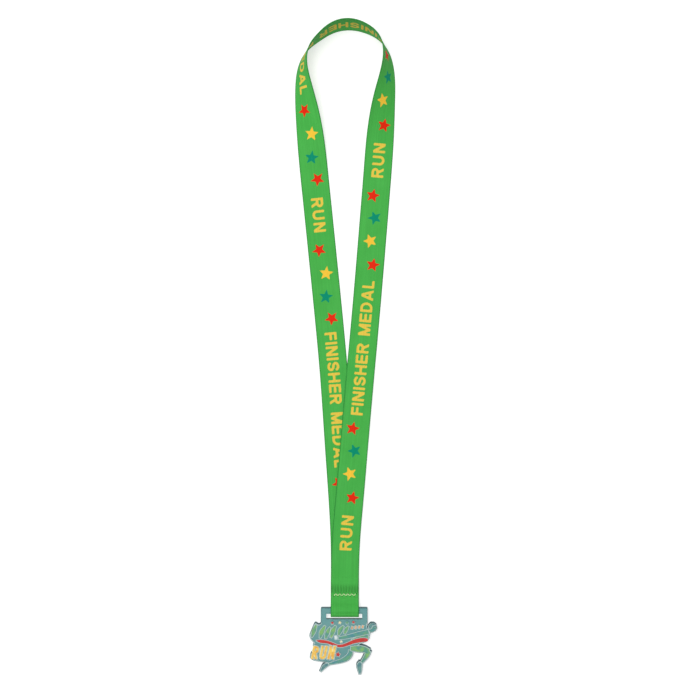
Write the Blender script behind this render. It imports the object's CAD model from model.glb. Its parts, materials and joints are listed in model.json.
"""A sports finisher medal: an enamelled casting in the sewn loop of a printed neck ribbon, lying face up."""
import json
import math

import bpy
import numpy as np
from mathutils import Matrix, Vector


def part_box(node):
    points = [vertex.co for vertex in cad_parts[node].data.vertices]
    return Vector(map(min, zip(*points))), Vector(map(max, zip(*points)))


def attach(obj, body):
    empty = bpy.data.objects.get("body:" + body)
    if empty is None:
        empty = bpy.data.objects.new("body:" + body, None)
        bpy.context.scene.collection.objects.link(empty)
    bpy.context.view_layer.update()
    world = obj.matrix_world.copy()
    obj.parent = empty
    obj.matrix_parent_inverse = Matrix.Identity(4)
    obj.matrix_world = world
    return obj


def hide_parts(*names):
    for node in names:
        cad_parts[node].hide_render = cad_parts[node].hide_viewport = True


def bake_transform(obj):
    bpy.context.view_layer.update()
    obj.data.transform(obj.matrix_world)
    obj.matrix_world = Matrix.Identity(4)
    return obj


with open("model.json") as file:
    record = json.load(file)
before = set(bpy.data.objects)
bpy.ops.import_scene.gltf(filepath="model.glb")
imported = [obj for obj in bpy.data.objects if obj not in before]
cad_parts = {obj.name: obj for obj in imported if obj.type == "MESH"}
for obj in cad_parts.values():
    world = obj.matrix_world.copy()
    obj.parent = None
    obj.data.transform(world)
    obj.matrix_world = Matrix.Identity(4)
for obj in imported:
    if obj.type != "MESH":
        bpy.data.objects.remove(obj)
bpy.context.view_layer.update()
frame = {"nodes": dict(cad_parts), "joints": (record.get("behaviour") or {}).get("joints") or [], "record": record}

# ------------------------------------------------------------------ camera
# A camera on a copy stand, straight above the middle of the folded ribbon, as the object lies. The
# medal's bar is the point of the frame that every section measures from.
MM = 0.001
joints = {joint["name"]: joint for joint in frame["joints"]}
bar_place = np.array(joints["medal_swing"]["pos_m"])
bar_to_view_centre = np.array([4.13, 184.9]) * MM
camera_height = 700 * MM
view_width = 500 * MM
sensor_width = 36

camera_data = bpy.data.cameras.new("copy_stand_camera")
camera_data.sensor_width = sensor_width
camera_data.lens = sensor_width * camera_height / view_width
camera = bpy.data.objects.new("copy_stand_camera", camera_data)
camera.location = (*(bar_place[:2] + bar_to_view_centre), camera_height)
bpy.context.scene.collection.objects.link(camera)
bpy.context.scene.camera = camera

# ------------------------------------------------------------------ studio
# A matt white acrylic table that glows from below, one large soft box nearly overhead to the left, a
# smaller one past the medal's end that the flat metal mirrors, and white walls all round.


def linear(hex_colour):
    """An sRGB hex colour as linear RGBA: a channel is divided by 12.92 below 0.04045 and raised to the
    power 2.4 above it."""
    channels = np.array([int(hex_colour[i:i + 2], 16) for i in (1, 3, 5)]) / 255
    values = np.where(channels <= 0.04045, channels / 12.92, ((channels + 0.055) / 1.055) ** 2.4)
    return (*values.tolist(), 1.0)


def add(tree, kind, inputs=None, **settings):
    """Adds a node with its settings; an input is a plain value or an output socket to link."""
    node = tree.nodes.new(kind)
    for name, value in settings.items():
        setattr(node, name, value)
    for name, value in (inputs or {}).items():
        if isinstance(value, bpy.types.NodeSocket):
            tree.links.new(value, node.inputs[name])
        else:
            node.inputs[name].default_value = value
    return node


def new_material(name):
    """A node material with no nodes yet, and its node tree."""
    material = bpy.data.materials.new(name)
    material.use_nodes = True
    material.node_tree.nodes.clear()
    return material, material.node_tree


def mesh_object(name, vertices, faces, smooth=True):
    """A mesh object from an array of vertices and a list of faces, with its place in its mesh."""
    mesh = bpy.data.meshes.new(name)
    mesh.from_pydata(vertices.tolist(), [], faces)
    mesh.polygons.foreach_set("use_smooth", [smooth] * len(mesh.polygons))
    mesh.update()
    piece = bpy.data.objects.new(name, mesh)
    bpy.context.scene.collection.objects.link(piece)
    return piece


floor_half = 3.0
floor_corners = np.array([[-1, -1, 0], [1, -1, 0], [1, 1, 0], [-1, 1, 0]]) * floor_half
floor = mesh_object("acrylic_table", floor_corners, [(0, 1, 2, 3)], smooth=False)
material, tree = new_material("matt_white_acrylic")
# Sanding of the matt acrylic, about 2 mm across.
grain = add(tree, "ShaderNodeTexNoise", {"Scale": 500.0, "Detail": 2.0})
bump = add(tree, "ShaderNodeBump", {"Height": grain.outputs["Fac"], "Strength": 0.02})
shader = add(tree, "ShaderNodeBsdfPrincipled", {
    "Base Color": linear("#B4B4B4"), "Roughness": 0.9, "Normal": bump.outputs["Normal"],
    "Emission Color": (1, 1, 1, 1), "Emission Strength": 0.65})
add(tree, "ShaderNodeOutputMaterial", {"Surface": shader.outputs[0]})
floor.data.materials.append(material)


def soft_box(name, place, size, watts):
    """A square area light that faces the origin."""
    data = bpy.data.lights.new(name, "AREA")
    data.shape = "SQUARE"
    data.size = size
    data.energy = watts
    light = bpy.data.objects.new(name, data)
    light.location = place
    tip = math.acos(place[2] / np.linalg.norm(place))
    light.rotation_euler = (tip, 0, math.atan2(place[1], place[0]) + math.pi / 2)
    bpy.context.scene.collection.objects.link(light)


soft_box("soft_box_overhead", (-0.34, 0.3, 1.5), 0.8, 18)
soft_box("soft_box_front", (0.0, -0.75, 1.3), 0.9, 1.9)
world = bpy.data.worlds.new("white_walls")
world.use_nodes = True
walls = world.node_tree.nodes["Background"]
walls.inputs["Color"].default_value = (1, 1, 1, 1)
walls.inputs["Strength"].default_value = 0.27
bpy.context.scene.world = world
bpy.context.scene.view_settings.view_transform = "Standard"

# ------------------------------------------------------------------ medal casting
# One zinc alloy casting, nickel plated: a sandblasted field that reads blue-grey, and raised lines and
# rims that the polishing wheel has brightened. The flat back is left satin.
back_mount = next(m for m in frame["record"]["mounts"] if m["name"] == "medal_back")
plate_up = -np.array(back_mount["axis"])
plate_base = float(np.dot(np.array(back_mount["pos_m"]), plate_up))
plate_thickness = 3.0 * MM
field_depth = 0.35 * MM
tab_height = 8.0 * MM
tab_fade = 1.5 * MM

material, tree = new_material("nickel_plated_zinc_casting")
place = add(tree, "ShaderNodeTexCoord").outputs["Object"]
height = add(tree, "ShaderNodeVectorMath", {0: place, 1: tuple(plate_up)}, operation="DOT_PRODUCT")
plate_top = plate_base + plate_thickness
raised = add(tree, "ShaderNodeMapRange", {
    "Value": height.outputs["Value"], "From Min": plate_top - 0.6 * field_depth,
    "From Max": plate_top - 0.1 * field_depth})
# The wheel does not reach the tab, which stays as blasted.
tab_end = bar_place[1] - tab_height
along = add(tree, "ShaderNodeSeparateXYZ", {0: place}).outputs["Y"]
in_figure = add(tree, "ShaderNodeMapRange", {
    "Value": along, "From Min": tab_end, "From Max": tab_end - tab_fade})
polished = add(tree, "ShaderNodeMath", {0: raised.outputs[0], 1: in_figure.outputs[0]}, operation="MULTIPLY")
# Cloudy staining of the plating, about 6 mm across.
clouds = add(tree, "ShaderNodeTexNoise", {"Vector": place, "Scale": 160.0, "Detail": 3.0})
field_colour = add(tree, "ShaderNodeMix", {
    "Factor": clouds.outputs["Fac"], 6: linear("#69A0A2"), 7: linear("#7DA9A6")}, data_type="RGBA")
metal_colour = add(tree, "ShaderNodeMix", {
    "Factor": polished.outputs[0], 6: field_colour.outputs[2], 7: linear("#B4CBC9")}, data_type="RGBA")
# The walls and chamfers keep the dull grey of the plating, which the polishing wheel cannot reach.
normal = add(tree, "ShaderNodeTexCoord").outputs["Normal"]
facing = add(tree, "ShaderNodeVectorMath", {0: normal, 1: tuple(plate_up)}, operation="DOT_PRODUCT")
front = add(tree, "ShaderNodeMath", {0: facing.outputs["Value"]}, operation="ABSOLUTE")
wall = add(tree, "ShaderNodeMapRange", {
    "Value": front.outputs[0], "From Min": 0.95, "From Max": 0.6, "To Min": 0.0, "To Max": 0.85})
plated_colour = add(tree, "ShaderNodeMix", {
    "Factor": wall.outputs[0], 6: metal_colour.outputs[2], 7: linear("#3F5C63")}, data_type="RGBA")
# Sandblasting grit of 0.15 mm, drawn at 0.25 mm so that it shows.
grit = add(tree, "ShaderNodeTexNoise", {"Vector": place, "Scale": 4000.0, "Detail": 2.0})
bump = add(tree, "ShaderNodeBump", {"Height": grit.outputs["Fac"], "Strength": 0.12, "Distance": 0.05 * MM})
roughness = add(tree, "ShaderNodeMapRange", {"Value": polished.outputs[0], "To Min": 0.5, "To Max": 0.3})
shader = add(tree, "ShaderNodeBsdfPrincipled", {
    "Base Color": plated_colour.outputs[2], "Metallic": 1.0, "Roughness": roughness.outputs[0],
    "Normal": bump.outputs["Normal"]})
add(tree, "ShaderNodeOutputMaterial", {"Surface": shader.outputs[0]})
casting = frame["nodes"]["medal_casting"]
casting.data.materials.clear()
casting.data.materials.append(material)

# ------------------------------------------------------------------ soft enamels
# Coloured soft enamel, flooded into the pockets and baked: a little orange peel, a satin gloss, and a
# shade that drifts where the colour pooled.
enamel_shades = {
    "enamel_green": ("#80BA66", "#529888"),
    "enamel_teal": ("#478F96", "#64A77C"),
    "enamel_dark_teal": ("#4A8389", "#6C9F97"),
    "enamel_red": ("#D92616", "#BE2216"),
    "enamel_yellow": ("#FDD863", "#F3B03A"),
    "enamel_cream": ("#FBF2C0", "#F0DFA0"),
    "enamel_amber": ("#F0C08A", "#DCA066"),
    "enamel_white": ("#EAF2F2", "#C9DADB"),
}


def enamel(slot, shade, pooled):
    """A soft enamel that drifts between two shades over about 4 mm."""
    material, tree = new_material("soft_" + slot)
    place = add(tree, "ShaderNodeTexCoord").outputs["Object"]
    drift = add(tree, "ShaderNodeTexNoise", {"Vector": place, "Scale": 260.0, "Detail": 1.0})
    spread = add(tree, "ShaderNodeMapRange", {
        "Value": drift.outputs["Fac"], "From Min": 0.35, "From Max": 0.65})
    colour = add(tree, "ShaderNodeMix", {
        "Factor": spread.outputs[0], 6: linear(shade), 7: linear(pooled)}, data_type="RGBA")
    # Orange peel of the baked surface, about 0.8 mm across.
    peel = add(tree, "ShaderNodeTexNoise", {"Vector": place, "Scale": 1250.0, "Detail": 1.0})
    bump = add(tree, "ShaderNodeBump", {
        "Height": peel.outputs["Fac"], "Strength": 0.1, "Distance": 0.1 * MM})
    # The gloss of a baked epoxy under a thin clear coat.
    shader = add(tree, "ShaderNodeBsdfPrincipled", {
        "Base Color": colour.outputs[2], "Roughness": 0.32, "IOR": 1.5, "Coat Weight": 0.25,
        "Coat Roughness": 0.15, "Normal": bump.outputs["Normal"]})
    add(tree, "ShaderNodeOutputMaterial", {"Surface": shader.outputs[0]})
    return material


enamels = {slot: enamel(slot, *shades) for slot, shades in enamel_shades.items()}
for subpart in frame["record"]["subparts"]:
    if subpart["material_slot"] in enamels:
        node = frame["nodes"][subpart["node"]]
        node.data.materials.clear()
        node.data.materials.append(enamels[subpart["material_slot"]])

# ------------------------------------------------------------------ neck ribbon
# One satin polyester ribbon, 20 mm wide, printed on both faces by heat transfer. It starts as a raw
# end behind the seam, goes round the medal's bar, up the right strap, behind the neck standing on its
# edge, and down the left strap into the seam. Sizes are in millimetres from the bar, as in the CAD.
ribbon_width = 20.0
cloth_thickness = 0.66
cad_thickness = 0.8
layer_step = 1.1
layer_air = 0.07
seam_y = 10.8
stitch_height = 1.8
stitch_pitch = 2.9
half_pitch = stitch_pitch / 2
seam_half = ribbon_width / 2 - 2.2
tail_end_y = 18.4
strap_end_y = 8.8
flat_length = 298.0
twist_length = 130.0
twist_lead = 4.0
arch_lean = math.radians(5)
arch_half_width = 35.4
bar_z = bar_place[2] / MM
loop_half_height = bar_z - cad_thickness
loop_half_depth = 4.05
tail_low, tail_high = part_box("ribbon_sewn_tail")
ribbon_place = np.array([(tail_low[0] + tail_high[0]) / 2, bar_place[1], 0.0])

# The outer edge's route on the surface: a strap point is its distance outside the sewn straps and its
# height up the ribbon; an arch point is its share of the arch's half width and its height.
right_strap = [
    (0, 14), (0.5, 42), (3.3, 78), (6.9, 120), (11.3, 170), (14.6, 206), (18.3, 249), (21.8, 292),
    (24.8, 335), (25.5, 363), (24.2, 387), (20, 399),
]
arch_top = [(0.67, 406.2), (0.42, 410.8), (0.1, 413), (-0.22, 411), (-0.54, 404.4), (-0.73, 399)]
left_strap = [
    (0, 14), (0, 42), (1.6, 78), (4.5, 120), (8, 170), (11.3, 206), (15.6, 249), (20, 292),
    (23.1, 324), (24.8, 353), (24.9, 371), (21.6, 390),
]
half = ribbon_width / 2
route = np.array(
    [(half, strap_end_y)] + [(half + spread, y) for spread, y in right_strap]
    + [(share * arch_half_width, y) for share, y in arch_top]
    + [(-half - spread, y) for spread, y in reversed(left_strap)] + [(-half, strap_end_y)])


def smooth_step(t):
    """3t^2 - 2t^3 between 0 and 1, and flat outside."""
    t = np.clip(t, 0, 1)
    return t * t * (3 - 2 * t)


def spline_through(points, count):
    """A natural cubic spline through the points, by chord length: the second derivatives solve a
    three-term system, each from its neighbours, and the curve is then sampled evenly."""
    chord = np.concatenate([[0], np.cumsum(np.linalg.norm(np.diff(points, axis=0), axis=1))])
    step = np.diff(chord)
    size = len(points)
    system = np.eye(size)
    rows = np.arange(1, size - 1)
    system[rows, rows - 1] = step[:-1]
    system[rows, rows] = 2 * (step[:-1] + step[1:])
    system[rows, rows + 1] = step[1:]
    slope = np.diff(points, axis=0) / step[:, None]
    right = np.zeros_like(points)
    right[1:-1] = 6 * np.diff(slope, axis=0)
    bend = np.linalg.solve(system, right)
    t = np.linspace(0, chord[-1], count)
    i = np.clip(np.searchsorted(chord, t, side="right") - 1, 0, size - 2)
    a = ((chord[i + 1] - t) / step[i])[:, None]
    b = ((t - chord[i]) / step[i])[:, None]
    h2 = (step[i] ** 2 / 6)[:, None]
    return a * points[i] + b * points[i + 1] + ((a ** 3 - a) * bend[i] + (b ** 3 - b) * bend[i + 1]) * h2


def length_along(points):
    """The length of a chain of points up to each of them."""
    return np.concatenate([[0], np.cumsum(np.linalg.norm(np.diff(points, axis=0), axis=1))])


curve_points = 6000
strap_curve = spline_through(route, curve_points)
strap_length = length_along(strap_curve)[-1]
below_arch = 2400
right_edge = strap_curve[:below_arch]
left_edge = strap_curve[:-below_arch:-1]
left_x_beside = np.interp(right_edge[:, 1], left_edge[:, 1], left_edge[:, 0])
cross_lead = 4.0
crossing_y = right_edge[np.argmax(right_edge[:, 0] - left_x_beside > 2 * ribbon_width), 1] + cross_lead
cross_ramp = 30.0
tail_lead = 0.2
tail_ramp = 3.6


def layer_lift(x_side, y):
    """Height of a strap's underside: one layer over the tail, and one more where the right strap lies
    on the left one."""
    over_tail = 1 - smooth_step((y - tail_end_y - tail_lead) / tail_ramp)
    over_strap = np.where(x_side > 0, 1 - smooth_step((y - crossing_y) / cross_ramp), 0)
    return layer_step * (over_tail + over_strap)


# The underside's path from the raw end to the right strap, as (y, z): flat under the seam, half an
# ellipse round the bar, and an S that climbs from the bar's front onto the layers of the seam.
loop_end_y = 8.0
tail_points = 40
bend_points = 60
tail_y = np.linspace(tail_end_y, 0.2, tail_points)
bend = np.linspace(0, math.pi, bend_points)
rise = np.linspace(0, 1, bend_points)[1:]
loop_top = bar_z + loop_half_height
loop_path = np.concatenate([
    np.stack([tail_y, np.full(tail_points, bar_z - loop_half_height)], axis=1),
    np.stack([-loop_half_depth * np.sin(bend), bar_z - loop_half_height * np.cos(bend)], axis=1),
    np.stack([loop_end_y * rise, loop_top + (2 * layer_step - loop_top) * smooth_step(rise)], axis=1),
])
# Soft creases lie across the loop's front: over the bar's edge, and where the S begins.
front_begins = tail_points + 22
front_y = loop_path[:, 0]
crease = 0.42 * np.exp(-((front_y + 1.3) / 0.55) ** 2) + 0.2 * np.exp(-((front_y - 4.4) / 1.2) ** 2)
loop_path[:, 1] -= np.where(np.arange(len(loop_path)) > front_begins, crease, 0)
strap_side = np.where(np.arange(curve_points) < curve_points / 2, 1, -1)
whole_path = np.concatenate([
    np.column_stack([np.full(len(loop_path), half), loop_path]),
    np.column_stack([strap_curve, layer_lift(strap_side, strap_curve[:, 1])]),
])
path_length = length_along(whole_path)
ribbon_length = path_length[-1]
loop_length = ribbon_length - strap_length
# Rows of the mesh: fine round the loop and the gathered seam, and coarser up the straps.
fine_end = loop_length + 16
fine_step = 0.33
strap_rows = 1290
s = np.concatenate([np.arange(0, fine_end, fine_step), np.linspace(fine_end, ribbon_length, strap_rows)])
rows = len(s)
edge_line = np.stack([np.interp(s, path_length, whole_path[:, k]) for k in range(3)], axis=1)
strap_s = s - loop_length

# Its frame at each step: across the ribbon from the outer edge, and out of the printed front.
tangent = np.gradient(edge_line, s, axis=0)
tangent /= np.linalg.norm(tangent, axis=1)[:, None]
flat_run = np.column_stack([tangent[:, 0], tangent[:, 1], np.zeros(rows)])
flat_run /= np.maximum(np.linalg.norm(flat_run, axis=1), 1e-6)[:, None]
inward = np.column_stack([-flat_run[:, 1], flat_run[:, 0], np.zeros(rows)])
square_end = 4.0
inward[strap_s < square_end] = (-1, 0, 0)
from_end = np.minimum(strap_s, strap_length - strap_s + twist_lead)
twist = (math.pi / 2 + arch_lean) * smooth_step((from_end - flat_length) / twist_length)[:, None]
up = np.array([0, 0, 1.0])
across = inward * np.cos(twist) + up * np.sin(twist)
edge_line[:, 2] += cad_thickness * np.maximum(0, -np.cos(twist[:, 0]))
face = np.cross(tangent, across)
face /= np.linalg.norm(face, axis=1)[:, None]

# Its section: the underside and the front, 0.66 mm apart at most, with a rounded selvage at each edge.
columns = 30
selvage_round = 0.12
v_line = np.linspace(selvage_round, ribbon_width - selvage_round, columns)
low, high = layer_air, layer_air + cloth_thickness
ring_v = np.concatenate([v_line, [ribbon_width], v_line[::-1], [0.0]])
mid_w = (low + high) / 2
ring_w = np.concatenate([np.full(columns, low), [mid_w], np.full(columns, high), [mid_w]])
ring_side = np.concatenate([np.zeros(columns), [0.5], np.ones(columns), [0.5]])
ring = len(ring_v)


def cloth_rise(x, y, flatness):
    """How far loosely lying cloth rises: two long sine waves slanted over the surface, which fade
    towards the seam, and a short sine across the ribbon, one for each stitch, which dies away from it."""
    long_wave = 0.16 * (1 + np.sin(2 * math.pi * y / 71 + x / 14))
    short_wave = 0.1 * (1 + np.sin(2 * math.pi * y / 29 - x / 9 + 1))
    away_from_seam = smooth_step((y - 24) / 30)
    tucks = 0.1 * np.cos(2 * math.pi * x / stitch_pitch) * np.exp(-((y - seam_y - 2.2) / 3.2) ** 2)
    return flatness * ((long_wave + short_wave) * away_from_seam + np.where(y > 9.2, tucks, 0))


S, V = np.meshgrid(s, ring_v, indexing="ij")
W = np.broadcast_to(ring_w, S.shape)
points = edge_line[:, None, :] + across[:, None, :] * V[..., None] + face[:, None, :] * W[..., None]
on_strap = (strap_s > 0.5)[:, None]
flatness = np.where(on_strap, np.cos(twist) ** 2, 0)
points[..., 2] += cloth_rise(points[..., 0], points[..., 1], flatness)
# The stitches pull the top strap down by a fifth of a millimetre.
pull = 0.22 * np.exp(-((points[..., 1] - seam_y) / 1.1) ** 2)
top_layer = (edge_line[:, 2] > 1.5)[:, None]
points[..., 2] -= np.where(on_strap & top_layer, pull, 0)
vertices = (points.reshape(-1, 3) * MM) + ribbon_place

index = np.arange(rows * ring).reshape(rows, ring)
after = np.roll(index, -1, axis=1)
quads = np.stack([index[:-1], after[:-1], after[1:], index[1:]], axis=-1).reshape(-1, 4)
faces = quads.tolist() + [index[0][::-1].tolist(), index[-1].tolist()]
ribbon = mesh_object("neck_ribbon", vertices, faces)

# The print, as the distance in millimetres from each point of the cloth to the edge of the ink, below
# nought inside it. Letters are bars and arcs of one stroke width, cut off at the cap height.
cap_height = 8.6
stroke = 1.75
word_gap = 4.6


def arc(cx, cy, rx, ry, start, end, count=9):
    """Points on an elliptical arc, angles in degrees."""
    a = np.radians(np.linspace(start, end, count))
    return [(cx + rx * math.cos(t), cy + ry * math.sin(t)) for t in a]


def upright(x):
    """A stem of full height."""
    return [(x, 0), (x, cap_height)]


top = cap_height
edge = stroke / 2
middle = top / 2
bowl = (top - 2 * edge) / 4
hook = (middle - edge) / 2
# Each capital's width and its centre lines, in a box as high as the cap height.
capitals = {
    "I": (stroke, [upright(edge)]),
    "L": (5.4, [upright(edge), [(0, edge), (5.4, edge)]]),
    "F": (5.6, [upright(edge), [(0, top - edge), (5.6, top - edge)], [(0, middle), (5.1, middle)]]),
    "E": (6.0, [upright(edge), [(0, top - edge), (5.9, top - edge)], [(0, middle), (5.5, middle)],
                [(0, edge), (6, edge)]]),
    "H": (6.8, [upright(edge), upright(6.8 - edge), [(0, middle), (6.8, middle)]]),
    "N": (6.8, [upright(edge), [(edge, top), (6.8 - edge, 0)], upright(6.8 - edge)]),
    "M": (8.2, [upright(edge), [(edge, top), (4.1, 0.6)], [(4.1, 0.6), (8.2 - edge, top)],
                upright(8.2 - edge)]),
    "A": (7.6, [[(0.7, -0.4), (3.8, top + 0.3)], [(3.8, top + 0.3), (6.9, -0.4)], [(1.7, 2.5), (5.9, 2.5)]]),
    "U": (6.8, [[(edge, top), *arc(3.4, 3.1, 3.4 - edge, 3.1 - edge, 180, 360), (6.8 - edge, top)]]),
    "D": (6.9, [upright(edge),
                [(edge, top - edge), (3, top - edge), *arc(3, middle, 3.9 - edge, middle - edge, 80, -80),
                 (3, edge), (edge, edge)]]),
    "R": (6.8, [upright(edge),
                [(edge, top - edge), (3.9, top - edge), *arc(3.9, top - edge - bowl, 2.0, bowl, 80, -80),
                 (3.9, top - edge - 2 * bowl), (edge, top - edge - 2 * bowl)],
                [(3.5, top - edge - 2 * bowl), (6.1, -0.3)]]),
    "S": (6.4, [[*arc(3.2, top - edge - hook, 3.2 - edge, hook, 20, 250),
                 *arc(3.2, edge + hook, 3.2 - edge, hook, 80, -160)]]),
}


def line_distance(x, y, line):
    """Distance from points to a chain of straight pieces."""
    best = np.full(x.shape, 1e9)
    for (x0, y0), (x1, y1) in zip(line[:-1], line[1:]):
        dx, dy = x1 - x0, y1 - y0
        t = np.clip(((x - x0) * dx + (y - y0) * dy) / (dx * dx + dy * dy + 1e-12), 0, 1)
        best = np.minimum(best, np.hypot(x - x0 - t * dx, y - y0 - t * dy))
    return best


def letter_field(u, v, letter):
    """Distance to the edge of a letter's ink, from the letter's middle: the nearest centre line less
    half the stroke, cut off by the cap height and by the letter's own width."""
    width, lines = capitals[letter]
    x, y = u + width / 2, v + cap_height / 2
    strokes = np.min([line_distance(x, y, line) for line in lines], axis=0) - stroke / 2
    band = np.maximum(-y, y - cap_height)
    sides = np.maximum(-x, x - width)
    return np.maximum(strokes, np.maximum(band, sides))


star_radius = 5.4
star_waist = 0.42


def star_field(u, v, off_middle, tilt):
    """Signed distance to a five-pointed star off the ribbon's middle: the plane is folded onto one half
    point, whose edge is a straight line from the tip to the notch."""
    y = v - off_middle
    fifth = 2 * math.pi / 5
    angle = np.mod(np.arctan2(y, u) - tilt - math.pi / 2 + fifth / 2, fifth) - fifth / 2
    reach = np.hypot(u, y)
    px, py = reach * np.cos(angle) - star_radius, np.abs(reach * np.sin(angle))
    run = star_waist * star_radius * math.cos(fifth / 2) - star_radius
    climb = star_waist * star_radius * math.sin(fifth / 2)
    t = np.clip((px * run + py * climb) / (run ** 2 + climb ** 2), 0, 1)
    distance = np.hypot(px - t * run, py - t * climb)
    return np.where(px * climb - py * run < 0, -distance, distance)


print_v = np.where(ring_side > 0.5, ring_v, ribbon_width - ring_v)
PS = np.broadcast_to(strap_s[:, None], S.shape)
PV = np.broadcast_to(print_v, S.shape)
far_from_ink = 2.0
inks = {name: np.full(S.shape, far_from_ink) for name in ("letters", "yellow_star", "red_star", "teal_star")}


def lay(ink, centre_s, half_length, field, *motif):
    """Lays a motif's field on the cloth round a place along the straps."""
    near = np.abs(strap_s - centre_s) < half_length + far_from_ink
    if near.any():
        values = field(PS[near] - centre_s, PV[near] - ribbon_width / 2, *motif)
        inks[ink][near] = np.minimum(inks[ink][near], values)


def lay_words(words, centre_s, letter_gap):
    """Sets words along the ribbon, centred on a place."""
    widths = [capitals[letter][0] if letter != " " else word_gap - letter_gap for letter in words]
    x = -(sum(widths) + letter_gap * (len(words) - 1)) / 2
    for letter, width in zip(words, widths):
        if letter != " ":
            lay("letters", centre_s + x + width / 2, width / 2, letter_field, letter)
        x += width + letter_gap


print_period = 266.4
first_word_s = 44.9
second_word_s = print_period / 2 - 1
second_stars_s = 166.7
# Each star of a row: its ink, its place along the ribbon, how far it is off the middle, and its tilt.
star_row = [("red_star", 25.0, -2.0, -0.47), ("yellow_star", 42.0, 1.3, 0.1), ("teal_star", 58.6, -0.6, 0.1),
            ("red_star", 74.3, 2.0, -0.47)]
for base in first_word_s + print_period * np.arange(4):
    lay_words("RUN", base, 2.0)
    lay_words("FINISHER MEDAL", base + second_word_s, 1.3)
    for row_s in (0, second_stars_s):
        for ink, along_row, off_middle, tilt in star_row:
            lay(ink, base + row_s + along_row, star_radius, star_field, off_middle, tilt)

for name, field in inks.items():
    layer = ribbon.data.attributes.new("ink_" + name, "FLOAT", "POINT")
    held = np.clip(field, -far_from_ink, far_from_ink)
    layer.data.foreach_set("value", held.ravel().astype(np.float32))
cloth = np.stack([S, V, np.broadcast_to(ring_side, S.shape)], axis=-1)
layer = ribbon.data.attributes.new("cloth_mm", "FLOAT_VECTOR", "POINT")
layer.data.foreach_set("vector", cloth.ravel().astype(np.float32))

material, tree = new_material("printed_satin_polyester")
where = add(tree, "ShaderNodeAttribute", attribute_name="cloth_mm").outputs["Vector"]
cloth_parts = add(tree, "ShaderNodeSeparateXYZ", {0: where})
along_cloth = cloth_parts.outputs["X"]
across_cloth = cloth_parts.outputs["Y"]
place = add(tree, "ShaderNodeTexCoord").outputs["Object"]
place_parts = add(tree, "ShaderNodeSeparateXYZ", {0: place})
place_x = place_parts.outputs["X"]
place_y = place_parts.outputs["Y"]
# Dye takes up unevenly over about 12 mm.
patches = add(tree, "ShaderNodeTexNoise", {"Vector": where, "Scale": 0.08, "Detail": 3.0})
ground = add(tree, "ShaderNodeMix", {
    "Factor": patches.outputs["Fac"], 6: linear("#43AC46"), 7: linear("#4FB751")}, data_type="RGBA")
# The selvage, within 0.9 mm of each edge, is woven tighter and is darker.
from_middle = add(tree, "ShaderNodeMath", {0: across_cloth, 1: half}, operation="SUBTRACT")
beside = add(tree, "ShaderNodeMath", {0: from_middle.outputs[0]}, operation="ABSOLUTE")
selvage = add(tree, "ShaderNodeMapRange", {
    "Value": beside.outputs[0], "From Min": half - 0.9, "From Max": half - 0.2})
colour = add(tree, "ShaderNodeMix", {
    "Factor": selvage.outputs[0], 6: ground.outputs[2], 7: linear("#2F8C3A")}, data_type="RGBA")
# Heat transfer inks, with an edge that bleeds by a tenth of a millimetre.
ink_bleed = 0.12
ink_colours = {"letters": "#E8C84C", "yellow_star": "#F8C83E", "red_star": "#E62A0C", "teal_star": "#008F6E"}
for name, ink_hex in ink_colours.items():
    field = add(tree, "ShaderNodeAttribute", attribute_name="ink_" + name)
    covered = add(tree, "ShaderNodeMapRange", {
        "Value": field.outputs["Fac"], "From Min": ink_bleed, "From Max": -ink_bleed})
    colour = add(tree, "ShaderNodeMix", {
        "Factor": covered.outputs[0], 6: colour.outputs[2], 7: linear(ink_hex)}, data_type="RGBA")
# Streaks along the warp, 0.8 mm wide and some 40 mm long, where the yarn took up less ink.
stretched = add(tree, "ShaderNodeVectorMath", {0: where, 1: (0.025, 1.2, 1.0)}, operation="MULTIPLY")
streaks = add(tree, "ShaderNodeTexNoise", {"Vector": stretched.outputs[0], "Scale": 1.0, "Detail": 2.0})
streak_shade = add(tree, "ShaderNodeMapRange", {
    "Value": streaks.outputs["Fac"], "From Min": 0.3, "From Max": 0.7, "To Min": 0.93, "To Max": 1.05})
# Where the ribbon stands on its edge round the neck, the satin shows the sides of its floats, which
# are a deeper shade.
cloth_normal = add(tree, "ShaderNodeTexCoord").outputs["Normal"]
upward = add(tree, "ShaderNodeSeparateXYZ", {0: cloth_normal}).outputs["Z"]
lying = add(tree, "ShaderNodeMath", {0: upward}, operation="ABSOLUTE")
standing_shade = add(tree, "ShaderNodeMapRange", {
    "Value": lying.outputs[0], "From Min": 0.1, "From Max": 0.55, "To Min": 0.78, "To Max": 1.0})
face_shade = add(tree, "ShaderNodeMath", {
    0: streak_shade.outputs[0], 1: standing_shade.outputs[0]}, operation="MULTIPLY")
# Puckers 2 mm apart, where the seam gathers the cloth: they begin at the stitches and are gone just
# past the raw end.
bar_y = float(bar_place[1])
past_seam = add(tree, "ShaderNodeMapRange", {
    "Value": place_y, "From Min": bar_y + 11.5 * MM, "From Max": bar_y + 13 * MM},
    interpolation_type="SMOOTHSTEP")
before_end = add(tree, "ShaderNodeMapRange", {
    "Value": place_y, "From Min": bar_y + 19.5 * MM, "From Max": bar_y + 15 * MM},
    interpolation_type="SMOOTHSTEP")
gathered = add(tree, "ShaderNodeMath", {
    0: past_seam.outputs[0], 1: before_end.outputs[0]}, operation="MULTIPLY")
uneven = add(tree, "ShaderNodeTexNoise", {"Vector": where, "Scale": 0.35, "Detail": 1.0})
pucker_phase = add(tree, "ShaderNodeMath", {0: uneven.outputs["Fac"], 1: 5.0}, operation="MULTIPLY")
pucker_turn = add(tree, "ShaderNodeMath", {
    0: across_cloth, 1: 2 * math.pi / 2.0, 2: pucker_phase.outputs[0]}, operation="MULTIPLY_ADD")
pucker_wave = add(tree, "ShaderNodeMath", {0: pucker_turn.outputs[0]}, operation="SINE")
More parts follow.
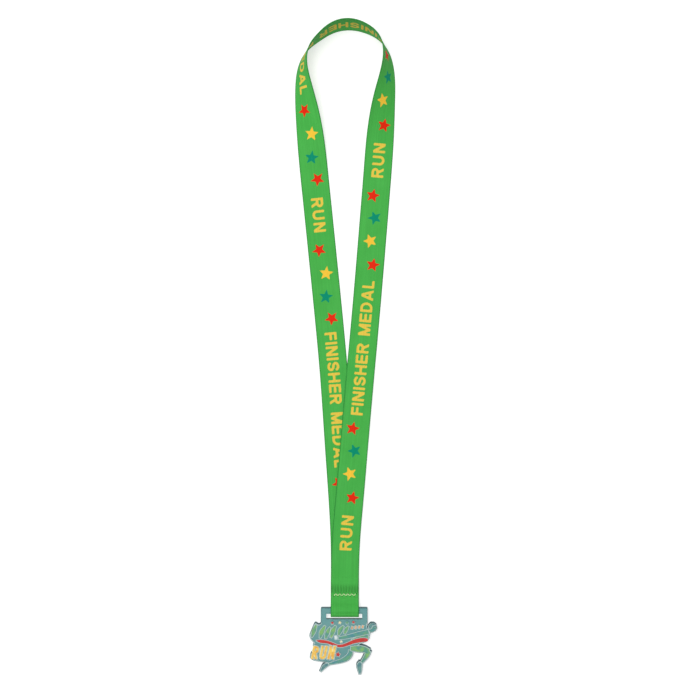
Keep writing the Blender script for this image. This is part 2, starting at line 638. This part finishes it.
pucker = add(tree, "ShaderNodeMath", {
    0: pucker_wave.outputs[0], 1: gathered.outputs[0]}, operation="MULTIPLY")
pucker_shade = add(tree, "ShaderNodeMath", {0: pucker.outputs[0], 1: 0.11}, operation="MULTIPLY")
gather_shade = add(tree, "ShaderNodeMath", {
    0: gathered.outputs[0], 1: -0.2, 2: pucker_shade.outputs[0]}, operation="MULTIPLY_ADD")
plain_shade = add(tree, "ShaderNodeMath", {
    0: gather_shade.outputs[0], 1: face_shade.outputs[0]}, operation="ADD")
# Needle holes at the zigzag's corners, dark because the thread goes down into them: the distance in
# millimetres to the nearest corner, found by rounding the count of half stitches from the row's left end.
row_left = (float(ribbon_place[0]) - seam_half * MM) / (half_pitch * MM)
half_stitches = add(tree, "ShaderNodeMath", {
    0: place_x, 1: 1 / (half_pitch * MM), 2: -row_left}, operation="MULTIPLY_ADD")
corner = add(tree, "ShaderNodeMath", {0: half_stitches.outputs[0]}, operation="ROUND")
upper = add(tree, "ShaderNodeMath", {0: corner.outputs[0], 1: 2.0}, operation="FLOORED_MODULO")
past_corner = add(tree, "ShaderNodeMath", {
    0: half_stitches.outputs[0], 1: corner.outputs[0]}, operation="SUBTRACT")
off_x = add(tree, "ShaderNodeMath", {0: past_corner.outputs[0], 1: half_pitch}, operation="MULTIPLY")
lower_y = bar_y / MM + seam_y - stitch_height / 2
above_lower = add(tree, "ShaderNodeMath", {0: place_y, 1: 1 / MM, 2: -lower_y}, operation="MULTIPLY_ADD")
off_y = add(tree, "ShaderNodeMath", {
    0: upper.outputs[0], 1: -stitch_height, 2: above_lower.outputs[0]}, operation="MULTIPLY_ADD")
off_corner = add(tree, "ShaderNodeCombineXYZ", {"X": off_x.outputs[0], "Y": off_y.outputs[0]})
from_corner = add(tree, "ShaderNodeVectorMath", {0: off_corner.outputs[0]}, operation="LENGTH")
hole_shade = add(tree, "ShaderNodeMapRange", {
    "Value": from_corner.outputs["Value"], "From Min": 0.25, "From Max": 0.7, "To Min": 0.35, "To Max": 1.0})
off_row_middle = add(tree, "ShaderNodeMath", {
    0: place_x, 1: float(ribbon_place[0])}, operation="SUBTRACT")
seam_side = add(tree, "ShaderNodeMath", {0: off_row_middle.outputs[0]}, operation="ABSOLUTE")
unsewn = add(tree, "ShaderNodeMath", {
    0: seam_side.outputs[0], 1: (seam_half + 0.7) * MM}, operation="GREATER_THAN")
kept_shade = add(tree, "ShaderNodeMath", {
    0: hole_shade.outputs[0], 1: unsewn.outputs[0]}, operation="MAXIMUM")
shade = add(tree, "ShaderNodeMath", {
    0: plain_shade.outputs[0], 1: kept_shade.outputs[0]}, operation="MULTIPLY")
colour = add(tree, "ShaderNodeMix", {
    "Factor": 1.0, 6: colour.outputs[2], 7: shade.outputs[0]}, data_type="RGBA", blend_type="MULTIPLY")
# Satin weave: warp floats along the ribbon, crossed by weft. The real yarns are about 0.2 mm apart, and
# are drawn 0.6 mm and 0.8 mm apart so that they show.
warp = add(tree, "ShaderNodeMath", {0: across_cloth, 1: 2 * math.pi / 0.6}, operation="MULTIPLY")
warp_wave = add(tree, "ShaderNodeMath", {0: warp.outputs[0]}, operation="SINE")
weft = add(tree, "ShaderNodeMath", {0: along_cloth, 1: 2 * math.pi / 0.8}, operation="MULTIPLY")
weft_wave = add(tree, "ShaderNodeMath", {0: weft.outputs[0]}, operation="SINE")
weave = add(tree, "ShaderNodeMath", {0: warp_wave.outputs[0], 1: weft_wave.outputs[0]}, operation="ADD")
weave_bump = add(tree, "ShaderNodeBump", {
    "Height": weave.outputs[0], "Strength": 0.15, "Distance": 0.05 * MM})
bump = add(tree, "ShaderNodeBump", {
    "Height": pucker.outputs[0], "Strength": 1.0, "Distance": 0.12 * MM,
    "Normal": weave_bump.outputs["Normal"]})
shader = add(tree, "ShaderNodeBsdfPrincipled", {
    "Base Color": colour.outputs[2], "Roughness": 0.65, "Specular IOR Level": 0.08,
    "Normal": bump.outputs["Normal"]})
add(tree, "ShaderNodeOutputMaterial", {"Surface": shader.outputs[0]})
ribbon.data.materials.append(material)

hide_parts("ribbon_right_strap", "ribbon_left_strap", "ribbon_neck_arch", "ribbon_sewn_tail",
            "ribbon_slot_loop")
# The cloth bends over 3.7 mm across the loop's hinge.
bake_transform(ribbon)

# ------------------------------------------------------------------ seam thread
# One row of zigzag lockstitch in light green polyester thread through all the layers; each stitch
# lies proud on the front and dives into the cloth at its ends.
thread_radius = 0.27
thread_sides = 8
steps_per_leg = 14
seam_top = 2 * layer_step + high - 0.16


def stitch_row(name):
    """A tube round a zigzag path: x runs evenly, y is a triangle wave, and z is an arch over each leg."""
    legs = round(2 * seam_half / half_pitch)
    t = np.linspace(0, legs, legs * steps_per_leg + 1)
    leg = np.minimum(np.floor(t), legs - 1)
    part = np.clip(t - leg, 0, 1)
    swing = np.where(leg % 2 == 0, part, 1 - part)
    path = np.column_stack([
        -seam_half + 2 * seam_half * t / legs,
        seam_y + stitch_height * (swing - 0.5),
        seam_top + thread_radius * (3.2 * np.sqrt(np.sin(math.pi * part)) - 2.8)])
    run = np.gradient(path, axis=0)
    run /= np.linalg.norm(run, axis=1)[:, None]
    side = np.cross(run, up)
    side /= np.linalg.norm(side, axis=1)[:, None]
    lift = np.cross(side, run)
    turn = np.linspace(0, 2 * math.pi, thread_sides, endpoint=False)[:, None]
    around = side[:, None, :] * np.cos(turn) + lift[:, None, :] * np.sin(turn)
    tube = path[:, None, :] + thread_radius * around
    grid = np.arange(len(path) * thread_sides).reshape(len(path), thread_sides)
    beside = np.roll(grid, -1, axis=1)
    quads = np.stack([grid[:-1], grid[1:], beside[1:], beside[:-1]], axis=-1).reshape(-1, 4)
    faces = quads.tolist() + [grid[0].tolist(), grid[-1][::-1].tolist()]
    return mesh_object(name, tube.reshape(-1, 3) * MM + ribbon_place, faces)


thread = stitch_row("seam_stitches")
material, tree = new_material("spun_polyester_thread")
place = add(tree, "ShaderNodeTexCoord").outputs["Object"]
# The thread's plies show as bands 0.6 mm apart.
plies = add(tree, "ShaderNodeTexWave", {"Vector": place, "Scale": 520.0, "Distortion": 1.5})
ply_colour = add(tree, "ShaderNodeMix", {
    "Factor": plies.outputs["Fac"], 6: linear("#E8F8C4"), 7: linear("#BDE39A")}, data_type="RGBA")
bump = add(tree, "ShaderNodeBump", {"Height": plies.outputs["Fac"], "Strength": 0.4, "Distance": 0.05 * MM})
shader = add(tree, "ShaderNodeBsdfPrincipled", {
    "Base Color": ply_colour.outputs[2], "Roughness": 0.55, "Sheen Weight": 0.2,
    "Normal": bump.outputs["Normal"]})
add(tree, "ShaderNodeOutputMaterial", {"Surface": shader.outputs[0]})
thread.data.materials.append(material)
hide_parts("seam_thread")
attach(thread, "ribbon")
